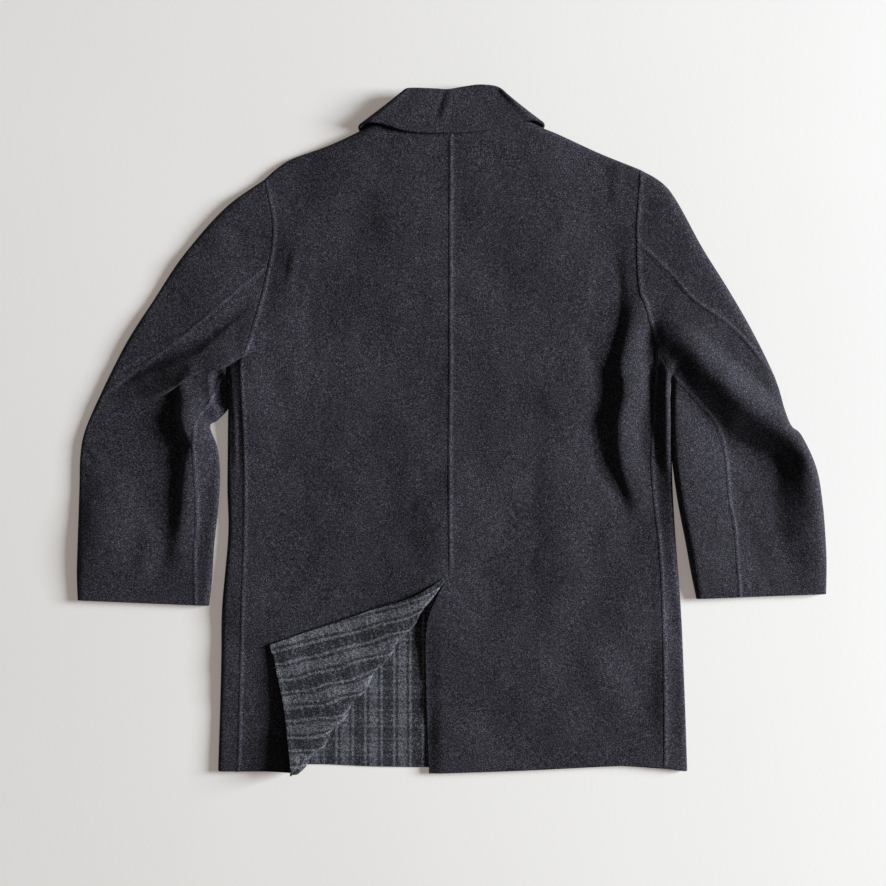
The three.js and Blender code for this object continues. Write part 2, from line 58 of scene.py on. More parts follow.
origin = np.array([(low.x + high.x) / 2, low.y + 441 * unit, low.z])


def placed(x, y, z):
    return Vector(origin + unit * np.array([x, y, z]))


# ---- camera, floor and light

view = {"x": -10.9, "y": -17.3, "height": 1708, "lens": 54, "farthest": 100}
floorLook = {
    "size": 12000, "below": 0.15, "colour": (0.63, 0.625, 0.612), "second": (0.66, 0.654, 0.64),
    "glow": (1.0, 0.87, 0.78), "glowStrength": 0.22, "roughness": 0.6, "gloss": 0.2,
    "patches": 1.1, "grain": 160, "bump": 0.08,
}
lights = {
    "window": {
        "at": (6330, 780, 2330), "aim": (0, 0, 0), "size": 2200, "power": 1165, "colour": (0.94, 1.0, 1.05),
    },
    "room": {"colour": (1.08, 1.0, 0.93), "strength": 0.10},
}


def makeCamera():
    # It isn't turned, so it looks straight down.
    data = bpy.data.cameras.new("camera")
    data.lens = view["lens"]
    data.clip_end = view["farthest"]
    camera = bpy.data.objects.new("camera", data)
    camera.location = placed(view["x"], view["y"], view["height"])
    bpy.context.scene.collection.objects.link(camera)
    bpy.context.scene.camera = camera


def makeLights():
    window, room = lights["window"], lights["room"]
    data = bpy.data.lights.new("window", "AREA")
    data.size = window["size"] * unit
    data.energy = window["power"]
    data.color = window["colour"]
    lamp = bpy.data.objects.new("window", data)
    lamp.location = placed(*window["at"])
    lamp.rotation_euler = (placed(*window["aim"]) - lamp.location).to_track_quat("-Z", "Y").to_euler()
    bpy.context.scene.collection.objects.link(lamp)
    world = bpy.data.worlds.new("room")
    world.use_nodes = True
    background = world.node_tree.nodes["Background"]
    background.inputs["Color"].default_value = (*room["colour"], 1)
    background.inputs["Strength"].default_value = room["strength"]
    bpy.context.scene.world = world
    bpy.context.scene.view_settings.view_transform = "Standard"


# ---- shader maths

class Socket:
    # A node's output that can be used in sums with numbers and other outputs.
    def __init__(self, paint, link):
        self.paint, self.link = paint, link

    def math(self, operation, other=None, swap=False):
        values = [self] if other is None else [other, self] if swap else [self, other]
        return self.paint.node("ShaderNodeMath", {"operation": operation}, dict(enumerate(values)))

    def __add__(self, other): return self.math("ADD", other)
    def __radd__(self, other): return self.math("ADD", other)
    def __sub__(self, other): return self.math("SUBTRACT", other)
    def __rsub__(self, other): return self.math("SUBTRACT", other, swap=True)
    def __mul__(self, other): return self.math("MULTIPLY", other)
    def __rmul__(self, other): return self.math("MULTIPLY", other)
    def __truediv__(self, other): return self.math("DIVIDE", other)
    def __rtruediv__(self, other): return self.math("DIVIDE", other, swap=True)
    def __pow__(self, other): return self.math("POWER", other)
    def __abs__(self): return self.math("ABSOLUTE")

    def ramp(self, start, end):
        inputs = {"Value": self, "From Min": start, "From Max": end}
        return self.paint.node("ShaderNodeMapRange", {"interpolation_type": "SMOOTHSTEP"}, inputs)


class Paint:
    # A material with one Principled shader, and the one way that its other nodes are made.
    def __init__(self, name, constants):
        self.material = bpy.data.materials.new(name)
        self.material.use_nodes = True
        self.tree = self.material.node_tree
        self.shader = self.tree.nodes["Principled BSDF"]
        for socket, value in constants.items():
            self.shader.inputs[socket].default_value = value

    def node(self, kind, settings=None, inputs=None, output=0):
        made = self.tree.nodes.new(kind)
        for name, value in (settings or {}).items():
            if name == "stops":
                for i, (place, shade) in enumerate(value):
                    stop = made.color_ramp.elements[i] if i < 2 else made.color_ramp.elements.new(place)
                    stop.position = place
                    stop.color = (shade, shade, shade, 1)
            else:
                setattr(made, name, value)
        for name, value in (inputs or {}).items():
            self.plug(made.inputs[name], value)
        return Socket(self, made.outputs[output])

    def plug(self, socket, value):
        if isinstance(value, Socket):
            self.tree.links.new(value.link, socket)
        elif isinstance(value, tuple) and len(value) == 3 and socket.type == "RGBA":
            socket.default_value = (*value, 1)
        else:
            socket.default_value = value

    def feed(self, name, value):
        self.plug(self.shader.inputs[name], value)

    def noise(self, perMetre, detail=2.0, roughness=0.5):
        place = self.node("ShaderNodeTexCoord", output="Object")
        inputs = {"Vector": place, "Scale": perMetre, "Detail": detail, "Roughness": roughness}
        return self.node("ShaderNodeTexNoise", {}, inputs)

    def mix(self, share, first, second):
        return self.node("ShaderNodeMix", {"data_type": "RGBA"}, {0: share, 6: first, 7: second}, output=2)

    def bump(self, height, strength, distance):
        inputs = {"Height": height, "Strength": strength, "Distance": distance}
        self.feed("Normal", self.node("ShaderNodeBump", {}, inputs))


clothShader = {"Roughness": 0.92, "Sheen Weight": 0.03, "Sheen Roughness": 0.45, "Specular IOR Level": 0.25}
woolLook = {
    "dark": (0.0052, 0.0045, 0.0066), "fibre": (0.141, 0.129, 0.168), "range": (0.39, 0.74), "contrast": 1.8,
    "fibres": 800, "clumps": 320, "patches": 9, "patchShare": 0.06, "seamHighlightShare": 0.05,
    "bump": 0.6, "bumpDepth": 0.0011,
}
checkLook = {
    "dark": (0.009, 0.009, 0.011), "light": (0.238, 0.236, 0.272), "period": 37.0, "from": 11.0, "waver": 1.6,
    "wavers": 260, "lengthwise": 0.71, "fleckShare": 2.4, "clumpShare": 1.1, "range": (-0.05, 1.05),
    "contrast": 1.38, "bump": 0.5, "bumpDepth": 0.0010,
    # How light the cloth is, from the middle of a light band at 0 to halfway between two of them at 1.
    "bands": [(0.0, 0.50), (0.25, 0.48), (0.34, 0.14), (0.44, 0.14), (0.525, 0.60), (0.61, 0.56),
              (0.69, 0.12), (1.0, 0.10)],
}


def fibres(paint):
    # Fine fibres, and clumps of a few of them.
    return paint.noise(woolLook["fibres"], 2, 0.7), paint.noise(woolLook["clumps"], 2, 0.6)


def makeWool():
    # Grey fibres on a dark ground, in soft patches, with a painted highlight along the seams' ridges.
    paint = Paint("charcoalWool", clothShader)
    fleck, clump = fibres(paint)
    patch = paint.noise(woolLook["patches"])
    # The seam ridges' painted highlight, read from the cloth.
    seamHighlight = paint.node("ShaderNodeAttribute", {"attribute_name": "seamHighlight"}, output="Fac")
    light = fleck * 0.8 + clump * 0.2 + (patch - 0.5) * woolLook["patchShare"] + seamHighlight * woolLook["seamHighlightShare"]
    light = light.ramp(*woolLook["range"]) ** woolLook["contrast"]
    paint.feed("Base Color", paint.mix(light, woolLook["dark"], woolLook["fibre"]))
    paint.bump(fleck * 0.7 + clump * 0.6, woolLook["bump"], woolLook["bumpDepth"])
    return paint.material


def makeCheck():
    # A grey shadow check: wide light bands between pairs of thin lines along the cloth, fainter bands across.
    paint = Paint("greyCheck", clothShader)
    fleck, clump = fibres(paint)
    cloth = paint.node("ShaderNodeAttribute", {"attribute_name": "cloth"}, output="Vector")
    across = paint.node("ShaderNodeSeparateXYZ", {}, {"Vector": cloth})
    along = Socket(paint, across.link.node.outputs["Y"])
    waver = (paint.noise(checkLook["wavers"]) - 0.5) * checkLook["waver"]

    def stripes(coordinate):
        turns = (coordinate + waver) / checkLook["period"]
        fromBand = abs(turns - turns.math("ROUND")) * 2
        return paint.node("ShaderNodeValToRGB", {"stops": checkLook["bands"]}, {"Fac": fromBand})

    lengthwise = checkLook["lengthwise"]
    tone = stripes(across - checkLook["from"]) * lengthwise + stripes(along) * (1 - lengthwise)
    tone = tone + (fleck - 0.5) * checkLook["fleckShare"] + (clump - 0.5) * checkLook["clumpShare"]
    grey = tone.ramp(*checkLook["range"]) ** checkLook["contrast"]
    paint.feed("Base Color", paint.mix(grey, checkLook["dark"], checkLook["light"]))
    paint.bump(fleck * 0.6 + clump * 0.8, checkLook["bump"], checkLook["bumpDepth"])
    return paint.material


def makeFloor():
    # The floor glows a little in a warm colour: painted light that lifts the shadows on it.
    paint = Paint("paleFloor", {
        "Roughness": floorLook["roughness"], "Specular IOR Level": floorLook["gloss"],
        "Emission Color": (*floorLook["glow"], 1), "Emission Strength": floorLook["glowStrength"],
    })
    patches = paint.noise(floorLook["patches"], 3).ramp(0.35, 0.7)
    paint.feed("Base Color", paint.mix(patches, floorLook["colour"], floorLook["second"]))
    paint.bump(paint.noise(floorLook["grain"], 4, 0.6), floorLook["bump"], 0.001)
    middle = placed(0, 0, -floorLook["below"])
    bpy.ops.mesh.primitive_plane_add(size=floorLook["size"] * unit, location=middle)
    floor = bpy.context.object
    floor.name = "floor"
    floor.data.materials.append(paint.material)


# ---- the coat's cut

coat = {
    "thickness": 2.5, "collarThickness": 3.2, "seamGap": 0.3, "seamRound": 0.45, "sewnWithin": 1.3,
    # How high the middles of the lower and of the upper layer lie, and how smooth the upper one's folds are.
    "tableMid": 1.25, "flatRise": 7.7, "neckRise": 12.6, "endRise": 7.2, "sideRise": 5, "leastAir": 1.4,
    "foldBlur": 4, "ventDroop": 2.6, "hollow": 0.5, "lumps": [(1.3, 80, 3), (0.5, 32, 4), (0.1, 13, 5)],
    "cuffs": -226, "hem": -441,
    # How wide the cloth rolls over at the folded edges, how far the fronts overlap, and the nets' steps.
    "leastRoll": 2, "widestRoll": 11.5, "sideRoll": 6, "frontOverlap": {"left": 28, "right": -20},
    "fine": 2.6, "plain": 6.0, "seamWithin": 14, "ventRow": -150,
}
layer = coat["thickness"] + 0.4

leftSide = {
    "sideEdge": [(-298, -438), (-294, -304), (-293, -232), (-285, -135), (-286, -70), (-285, 20), (-284, 60),
        (-287, 78)],
    "sideSeam": [(-275, -438), (-269, -213), (-267, -141), (-266, -70), (-268, 20), (-271, 87)],
    "backArmhole": [(-271, 87), (-259, 119), (-243, 176), (-231, 234), (-230, 268), (-235, 295),
        (-240, 319)],
    "frontArmhole": [(-287, 78), (-262, 112), (-236, 170), (-226, 235), (-231, 285), (-240, 319)],
    "shoulder": [(-240, 319), (-222, 335), (-202, 347), (-156, 363), (-116, 381.5), (-90, 396)],
    "backNeck": [(-90, 396), (-60, 399), (-30, 396), (-4, 395)],
    "frontNeck": [(-90, 396), (-72, 352), (-40, 322), (coat["frontOverlap"]["left"], 312)],
    "frontHem": [(-298, -438), (-187, -430), (-93, -433), (coat["frontOverlap"]["left"], -434)],
    "ringsOut": [(-240, 319), (-291, 281), (-343, 222), (-383, 162), (-417, 108), (-449, 44), (-469, -2),
        (-475, -35), (-476, -70), (-477, -110), (-478, -150), (-479, -187), (-478, -219)],
    "ringsIn": [(-287, 78), (-287.5, 66), (-286, 52), (-286.4, 39), (-287.2, 27), (-300, 13), (-310, 4),
        (-301, -24), (-298, -58), (-300, -98), (-305, -145), (-308, -190), (-312, -226)],
    "backSeam": [(-239, 211), (-341, 124), (-373, 103), (-449, 44)],
    "underSeam": [(-287, 78), (-300, 62), (-311, 35), (-325, 13), (-327, -25), (-327, -111), (-331, -159),
        (-330, -230)],
    "backRoll": [(-63, 429), (-54, 433), (-35, 433), (-4, 432)],
    "backEdge": [(-119, 387), (-104, 390), (-89, 388), (-53, 378), (-4, 377)],
    "frontRoll": [(-63, 429), (-44, 380), (-4, 340)],
    "frontEdge": [(-119, 387), (-101, 322), (-58, 262)],
    "backHem": [(-275, -438), (-235, -438), (-204.5, -440)],
}
rightSide = {
    "sideEdge": [(301, -438), (296, -298), (293, -232), (286, -143), (281, -62), (279, 20), (278, 52),
        (280, 68)],
    "sideSeam": [(271, -434), (269, -260), (264, -153), (254, -47), (257, 20), (262, 108)],
    "backArmhole": [(262, 108), (254, 131), (246, 158), (238, 182), (235, 249), (237, 290), (240, 332)],
    "frontArmhole": [(280, 68), (258, 112), (234, 170), (228, 240), (233, 290), (240, 332)],
    "shoulder": [(240, 332), (187, 354), (139, 376), (112, 387), (92, 399)],
    "backNeck": [(92, 399), (60, 400), (28, 396), (-4, 395)],
    "frontNeck": [(92, 399), (74, 352), (42, 322), (coat["frontOverlap"]["right"], 312)],
    "frontHem": [(301, -438), (190, -431), (90, -433), (coat["frontOverlap"]["right"], -434)],
    "ringsOut": [(240, 332), (278, 305), (320, 232), (355, 175), (387, 119), (416, 58), (430, 8), (445, -8),
        (465, -52), (473, -95), (477, -134), (479, -172), (479, -211)],
    "ringsIn": [(280, 68), (282.5, 56), (280.8, 36), (280.6, 16), (281, -6), (281.2, -18), (282, -32),
        (285, -56), (289, -84), (294, -112), (300, -142), (307, -180), (315, -217)],
    "backSeam": [(239, 234), (276, 200), (308, 163), (359, 126), (416, 60)],
    "underSeam": [(280, 68), (312, 34), (339, 2), (348, -36), (352, -90), (360, -132), (367, -230)],
    "backRoll": [(72, 424), (57, 436), (33, 438), (-4, 432)],
    "backEdge": [(119, 390), (103, 394), (91, 392), (40, 380), (-4, 377)],
    "frontRoll": [(72, 424), (46, 380), (4, 340)],
    "frontEdge": [(119, 390), (101, 322), (60, 262)],
    "backHem": [(271, -434), (221, -431), (91, -437), (-29, -441)],
}
sides = {"left": leftSide, "right": rightSide}
backSeamRing = 5
centreBack = [(-4, -186), (-5, -60), (-4, 120), (-4, 395)]
rightVentEdge = [(-29, -441), (-33, -327), (-31, -245), (-4, -186)]

# The left back's corner turned over at the vent, from the hem to the vent's top.
turned = {
    "fold": [(-196, -438), (-174, -413), (-151, -384), (-129, -354), (-106, -323), (-79, -286), (-52, -251),
        (-27, -217), (-4, -186)],
    "hemEdge": [(-203, -439), (-208, -399), (-216, -343), (-233, -274)],
    "ventEdge": [(-233, -274), (-186, -258), (-139, -243), (-93, -227), (-48, -213), (-4, -186)],
    "round": [8.5, 7.8, 6.9, 5.8, 4.7, 3.8, 2.8, 2.1, 0.02],
    "lift": [20, 14, 8, 3.4, 3.8, 4.2, 4.5, 4.5, 0],
    "scallop": 2.4, "scallopLength": 46, "scallopIn": (0, 0.1), "scallopOut": (0.95, 0.7),
    "buckles": [(0.9, 2.1, 0), (0.5, 4.7, 1)], "bendSteps": 12, "flatSteps": 60,
    "cutHem": [(-196, -438), (-26, -438)],  # where the same edges lie when the corner is flat
    "cutVent": [(-26, -438), (-4, -186)],
}


# ---- curves and nets

def smoothLine(points, perSpan=24):
    p = np.array(points, float)
    n = len(p)
    t = np.linspace(0, 1, perSpan, endpoint=False)[:, None]
    rows = []
    for i in range(n - 1):
        a, b, c, d = p[max(i - 1, 0)], p[i], p[i + 1], p[min(i + 2, n - 1)]
        rows.append(b + 0.5 * t * (c - a + t * (2 * a - 5 * b + 4 * c - d + t * (3 * (b - c) + d - a))))
    return np.vstack([*rows, p[-1:]])


def runOf(line):
    return np.concatenate([[0], np.cumsum(np.linalg.norm(np.diff(line, axis=0), axis=1))])


def sharesOf(line):
    run = runOf(line)
    return run / run[-1]


def lengthOf(line):
    return np.linalg.norm(np.diff(line, axis=0), axis=1).sum()


def along(points, shares, smooth=True):
    line = smoothLine(points) if smooth else np.array(points, float)
    where = sharesOf(line)
    return np.stack([np.interp(shares, where, line[:, k]) for k in range(line.shape[1])], axis=-1)


def splineAt(values, places):
    # A smooth line through values at 0, 1, 2 and so on, read at any places.
    p = np.array(values, float)
    i = np.clip(np.floor(places).astype(int), 0, len(p) - 2)
    t = (places - i).reshape(-1, *[1] * (p.ndim - 1))
    a, b, c, d = p[np.maximum(i - 1, 0)], p[i], p[i + 1], p[np.minimum(i + 2, len(p) - 1)]
    return b + 0.5 * t * (c - a + t * (2 * a - 5 * b + 4 * c - d + t * (3 * (b - c) + d - a)))


# Distances from a border, in millimetres, where the cloth rolls over or is raised beside a seam.
closeSteps = {
    "fold": [0, 0.3, 1, 2.2, 3.8, 6, 9.2, 14],
    "seam": [0, 1.7, 3.5, 6, 9.2, 14],
    "ridge": [0, 0.8, 1.6, 2.4, 3.2, 4.1, 5.1, 6.3, 8],
}


def stations(length, step, start=None, end=None):
    first = np.array(closeSteps[start]) / length if start else np.zeros(1)
    last = 1 - np.array(closeSteps[end])[::-1] / length if end else np.ones(1)
    count = max(2, round((last[0] - first[-1]) * length / step))
    return np.concatenate([first[:-1], np.linspace(first[-1], last[0], count + 1), last[1:]])


def between(a, b, share):
    share = np.asarray(share)[..., None]
    return np.asarray(a) * (1 - share) + np.asarray(b) * share


def net(first, last, bottom, top):
    v = ((first[:, 1] - first[0, 1]) / (first[-1, 1] - first[0, 1]))[:, None, None]
    reach = np.hypot(top[:, 0] - top[0, 0], 0.3 * (top[:, 1] - top[0, 1]))
    u = (reach / reach[-1])[None, :, None]
    straight = (1 - u) * first[:, None] + u * last[:, None] + (1 - v) * bottom[None] + v * top[None]
    corners = (1 - v) * ((1 - u) * first[0] + u * last[0]) + v * ((1 - u) * first[-1] + u * last[-1])
    return straight - corners


# ---- how high the upper layer lies

mapLow, mapHigh = np.array([-500.0, -470.0]), np.array([500.0, 470.0])
mapX, mapY = np.meshgrid(np.arange(mapLow[0], mapHigh[0] + 1), np.arange(mapLow[1], mapHigh[1] + 1))


def smoothStep(v, start, end):
    t = np.clip((v - start) / (end - start), 0, 1)
    return t * t * (3 - 2 * t)


def blurred(field, size):
    fy, fx = np.fft.fftfreq(field.shape[0]), np.fft.fftfreq(field.shape[1])
    keep = np.exp(-2 * (fx[None, :] ** 2 + fy[:, None] ** 2) * (math.pi * size) ** 2)
    return np.fft.ifft2(np.fft.fft2(field) * keep).real


def softNoise(size, seed):
    # Even random lumps about so many millimetres across, from about -2 to 2.
    made = blurred(np.random.default_rng(seed).standard_normal(mapX.shape), size * 0.4)
    return made / made.std()


def beside(path, x, y):
    # How far each place is from a path, left hand positive, and how far along it.
    off, share = np.full(x.shape, 1e6), np.zeros(x.shape)
    where = sharesOf(path)
    for (ax, ay), (bx, by), start, end in zip(path[:-1], path[1:], where[:-1], where[1:]):
        dx, dy = bx - ax, by - ay
        t = np.clip(((x - ax) * dx + (y - ay) * dy) / (dx * dx + dy * dy), 0, 1)
        ex, ey = x - ax - t * dx, y - ay - t * dy
        distance = np.hypot(ex, ey)
        nearer = distance < np.abs(off)
        off = np.where(nearer, np.where(dx * ey - dy * ex < 0, -distance, distance), off)
        share = np.where(nearer, start + t * (end - start), share)
    return off, share


# Folds, troughs and creases of the upper layer, in millimetres and even along each path: how high the crest
# stands, how wide its flanks at the left and right hand are, its path, and how far it leans to its left hand.
folds = [
    # Left back, from the side to the middle.
    ([0, 0, 1.5, 2.8, 4, 5, 0], [20, 14, 9, 9, 18, 30], [40, 50, 44], [(-261, -215), (-262, -150),
     (-263, -75), (-264, 0), (-265, 60), (-254, 115), (-243, 165)]),
    ([0, 2.2, 3, 2, 0], [26, 30], [30, 36], [(-208, 20), (-210, 120), (-206, 200), (-196, 262)]),
    ([0, -1.8, -2.2, 0], [40], [40], [(-120, 210), (-115, 265), (-105, 330)]),
    # Left sleeve: hollows round the lobe under the arm, the lobe and the long trough.
    ([0, -2.4, 0], [10], [14], [(-302, 268), (-280, 255), (-254, 240)]),
    ([0, -2.2, 0], [14], [14], [(-264, 318), (-259, 303), (-250, 288)]),
    ([0, -5, -7, -7, -4, 0], [18, 24, 30, 30], [14, 20, 30], [(-318, 66), (-336, 52), (-356, 38), (-372, 22),
     (-384, 6), (-390, -10)]),
    ([4, 11, 13, 13, 12, 10, 9, 8, 7, 5, 3, 0], [30, 34, 30, 28, 28], [11, 11, 12, 13], [(-342, 72),
     (-344, 52), (-344, 36), (-342, 18), (-337, 0), (-329, -16), (-333, -32), (-338, -60), (-342, -92),
     (-348, -135), (-353, -180)], [0, -3, -4, -2, 0, 0]),
    ([0, -5, -6, -5, -4, -3, 0], [14, 17, 14, 12], [40, 60, 66, 44], [(-370, 52), (-366, 22), (-358, -8),
     (-357, -45), (-357, -90), (-358, -120), (-359, -146)]),
    ([0, -3, -5, -4, 0], [60, 70], [50, 60], [(-412, 66), (-415, 30), (-412, -10), (-404, -60)]),
    ([0, -5, -6, -5, 0], [120, 140, 120], [30], [(-262, 308), (-343, 222), (-400, 135), (-449, 44),
     (-472, -20)]),
    ([0, -5, 0], [9], [9], [(-352, -22), (-340, -24), (-328, -26)]),
    ([0, 2.4, 3, 2.4, 1], [46], [24], [(-444, -15), (-450, -60), (-450, -110), (-448, -160), (-446, -220)]),
    ([0, 2.4, 2.4, 0], [16], [16], [(-380, -120), (-390, -165), (-398, -205)]),
    ([0, -2.2, 0], [18], [18], [(-366, -150), (-374, -180), (-380, -214)]),
    # Right back: the long fold, its trough, and the trough along the side.
    ([0, 4, 8, 9.5, 9.5, 10.5, 9, 4.5, 0], [16, 14, 13, 13, 14, 16, 18], [28, 30, 28, 26, 26], [(244, -124),
     (232, -80), (218, -38), (215, 6), (224, 46), (220, 86), (229, 128), (234, 155), (236, 190)],
     [0, 2, 4, 3, 5, 4, 2, 0, 0]),
    ([0, -2.5, -4, -4, -4, -4, -4, -3.5, 0], [18, 28, 34, 30], [12, 14, 16], [(238, -112), (216, -74),
     (202, -32), (196, 8), (202, 49), (200, 86), (206, 131), (208, 190), (209, 255)]),
    ([0, -7, -7, -5, -3, 0], [12, 10, 8], [14, 12, 8], [(256, 140), (257, 90), (260, 50), (264, 10),
     (266, -28), (267, -62)]),
    ([2.0, 2.4, 2.4, 2, 1, 0], [15, 14, 12], [10], [(273, -434), (272, -300), (270, -210), (266, -150),
     (260, -100)]),
    ([0, 2.5, 2.8, 2.5, 1.5, 0], [16], [12], [(292, -240), (287, -170), (283, -110), (279, -60), (276, -15),
     (275, 25)]),
    ([0, 1.6, 1.6, 0], [7], [12], [(208, 278), (209, 300), (209, 325), (208, 345)]),
    ([0, -1.8, -2, 0], [44], [44], [(112, 250), (120, 320), (112, 360)]),
    ([0, 2.2, 2.2, 0], [40], [46], [(150, -330), (140, -180), (146, -20), (120, 130)]),
    ([0, -1.8, 0], [10], [14], [(-26, -438), (-30, -400), (-31, -350)]),
    # Right sleeve: the bulge over the elbow, the valley under it, the outer edge and the inner slope.
    ([0, 5, 11, 16, 19, 20, 20, 19, 17, 13, 10, 7, 4, 1], [24, 28, 33, 34, 32, 30, 28, 26, 26, 26, 24],
     [12, 18, 24, 36, 44, 44, 40, 32, 36, 48, 50, 44, 34, 28], [(256, 146), (276, 124), (303, 101),
     (330, 71), (359, 45), (388, 22), (415, 3), (437, -14), (450, -29), (456, -45), (460, -76), (464, -106),
     (466, -140), (468, -180), (468, -222)]),
    ([0, -3, -4, -4, -3, -2, 0], [12, 18, 18, 14], [20, 40, 60, 60, 40], [(290, 92), (318, 58), (346, 28),
     (380, 0), (412, -24), (430, -60), (436, -120)]),
    ([2, 6, 8, 9, 9.5, 11, 12, 12], [56, 68, 80, 86], [12], [(284, 62), (283, 10), (285, -40), (294, -100),
     (306, -160), (319, -225)]),
]
sharpFolds = [
    ([0, 1.4, 1.4, 0], [4], [4], [(-276, -75), (-276, -30), (-276, 20), (-279, 62)]),
    ([0, 1.4, 0], [7, 8], [9, 12], [(-213, 166), (-204, 205), (-195, 246)]),
    ([0, -1.0, 0], [9], [8], [(-50, -118), (-51, -100), (-49, -82)]),
    ([0, -0.8, 0], [8], [8], [(-39, -74), (-38, -58), (-40, -42)]),
    # The roll under the left arm, which hangs over the hollow below it.
    ([0, 8, 14, 15, 15, 13, 9, 6, 3, 0], [8, 8, 8, 8, 9, 12, 26, 36], [26, 42, 50, 54, 56], [(-250, 108),
     (-272, 99), (-296, 88), (-315, 86), (-331, 80), (-348, 69), (-367, 57), (-388, 45), (-408, 33),
     (-424, 22)], [0, 6, 10, 11, 11, 10, 6, 1, 0, 0]),
    ([0, -9, -12, -11, -6, 0], [13], [12], [(-294, 80), (-297, 66), (-297, 52), (-296, 38), (-292, 26),
     (-288, 16)]),
    ([0, -3, -4, -5, -5, -4, 0], [9, 10, 12], [13, 15, 14], [(-256, 166), (-290, 136), (-323, 114),
     (-350, 102), (-378, 89), (-410, 71), (-438, 54)]),
    ([0, -1.6, 0], [6], [8], [(-472, -20), (-464, -35), (-452, -50)]),
    ([0, 4, 8, 10, 7, 0], [8, 9, 12], [8], [(274, -66), (272, -20), (272, 30), (274, 62), (280, 82),
     (293, 90)]),
    ([0, 2.0, 0], [4], [5], [(370, -184), (378, -198), (382, -213)]),
    ([0, 2.0, 0], [4], [5], [(390, -188), (394, -200), (396, -212)]),
    ([0, -1.6, 0], [5], [5], [(402, -186), (407, -198), (409, -211)]),
]

# Pressed seams: a low ridge of turned-in cloth beside the line of stitches, left hand positive.
centreSeam = [(-4, -180), (-5, -60), (-4, 120), (-4, 385)]
seamRidges = [{"height": 1.0, "beside": -3.0, "width": 2.4, "path": centreSeam}]
for seam, beyond, width, heightLeft, heightRight in [
    ("sideSeam", -2.8, 2.2, 0.8, 0.9), ("backArmhole", -3.0, 2.4, 0.9, 0.9),
    ("backSeam", 2.8, 2.2, 0.8, 0.9), ("underSeam", 2.8, 2.2, 0.8, 0.9),
]:
    for name, height in (("left", heightLeft), ("right", heightRight)):
        seamRidges.append({"height": height, "beside": beyond, "width": width, "path": sides[name][seam]})


def windowOf(path, reach):
    start = np.clip(np.floor(path.min(0) - reach - mapLow).astype(int), 0, None)
    end = np.clip(np.ceil(path.max(0) + reach - mapLow).astype(int), 0, None)
    return np.s_[start[1]:end[1], start[0]:end[0]]


def spreadAlong(values, share):
    return np.interp(share, np.linspace(0, 1, len(values)), values)


def addFold(heights, leans, crest, left, right, line, leaning=None):
    path = smoothLine(line, 6)
    part = windowOf(path, max(*left, *right))
    off, share = beside(path, mapX[part], mapY[part])
    width = np.where(off > 0, spreadAlong(left, share), spreadAlong(right, share))
    across = np.clip(1 - (off / width) ** 2, 0, 1) ** 1.5
    heights[part] += splineAt(crest, share.ravel() * (len(crest) - 1)).reshape(share.shape) * across
    if leaning:
        lean = spreadAlong(leaning, share) * across
        where = sharesOf(path)
        way = np.gradient(path, axis=0)
        way /= np.linalg.norm(way, axis=1)[:, None]
        leans[0][part] -= lean * np.interp(share, where, way[:, 1])
        leans[1][part] += lean * np.interp(share, where, way[:, 0])


def addRidge(heights, seamHighlight, ridge):
    path = smoothLine(ridge["path"], 8)
    part = windowOf(path, coat["seamWithin"])
    off, share = beside(path, mapX[part], mapY[part])
    ends = smoothStep(share, 0, 0.01) * smoothStep(share, 1, 0.99)
    raised = ends * np.exp(-(((off - ridge["beside"]) / ridge["width"]) ** 2))
    heights[part] += ridge["height"] * raised
    # The ridge's raised top also gets a painted highlight in the wool's colour.
    seamHighlight[part] = np.maximum(seamHighlight[part], raised)


def bodyLine(name):
    # The line between body and sleeve: the side's folded edge, then the armhole.
    side = sides[name]
    line = np.vstack([smoothLine(side["sideEdge"]), smoothLine(side["backArmhole"])])
    order = np.argsort(line[:, 1])
    return np.interp(mapY[:, :1], line[order, 1], line[order, 0])


# Where each height comes in: none of it at the first place, all of it at the second.
comesIn = {
    "sideOut": (190, 300), "sideUp": (-60, 80), "neckUp": (130, 270), "neckIn": (200, 110),
    "fromEnd": (-14, 80), "ventRight": (-12, -30), "ventLeft": (-60, -45), "ventDown": (-205, -340),
    "bodyIn": (345, 320), "bodyDown": (110, 60), "underNeckUp": (205, 258), "underNeckIn": (160, 118),
    "rightFront": (88, 48),
}


def comingIn(key, v):
    return smoothStep(v, *comesIn[key])


def riseOfCoat():
    # The upper layer's height over the whole coat, where its seam ridges get a painted highlight, and how far
    # its folds lean.
    out = np.abs(mapX)
    heights = coat["flatRise"] + coat["sideRise"] * comingIn("sideOut", out) * comingIn("sideUp", mapY)
    neckMore = coat["neckRise"] - coat["flatRise"]
    heights += neckMore * comingIn("neckUp", mapY) * comingIn("neckIn", out)
    leans = [np.zeros_like(heights), np.zeros_like(heights)]
    for fold in folds:
        addFold(heights, leans, *fold)
    heights = blurred(heights, coat["foldBlur"])
    for fold in sharpFolds:
        addFold(heights, leans, *fold)
    heights += sum(height * softNoise(size, seed) for height, size, seed in coat["lumps"])
    # Hem and cuffs lie flatter, no air is thinner than the collar needs, and the vent's edge lies lowest.
    onSleeve = ((mapX < bodyLine("left") - 3) | (mapX > bodyLine("right") + 3)) & (mapY < 80)
    fromEnd = np.where(onSleeve, mapY - coat["cuffs"], mapY - coat["hem"])
    heights = coat["endRise"] + (heights - coat["endRise"]) * comingIn("fromEnd", fromEnd)
    heights = np.maximum(heights, coat["tableMid"] + layer + coat["leastAir"])
    droop = coat["ventDroop"] * comingIn("ventRight", mapX) * comingIn("ventLeft", mapX)
    heights -= droop * comingIn("ventDown", mapY)
    seamHighlight = np.zeros_like(heights)
    for ridge in seamRidges:
        addRidge(heights, seamHighlight, ridge)
    return heights, seamHighlight, *leans


print("heights of the upper layer")
riseMap, seamHighlightMap, leanXMap, leanYMap = riseOfCoat()
hollowMap = coat["hollow"] * np.clip(softNoise(60, 8), 0, 2)  # the face on the floor isn't quite flat


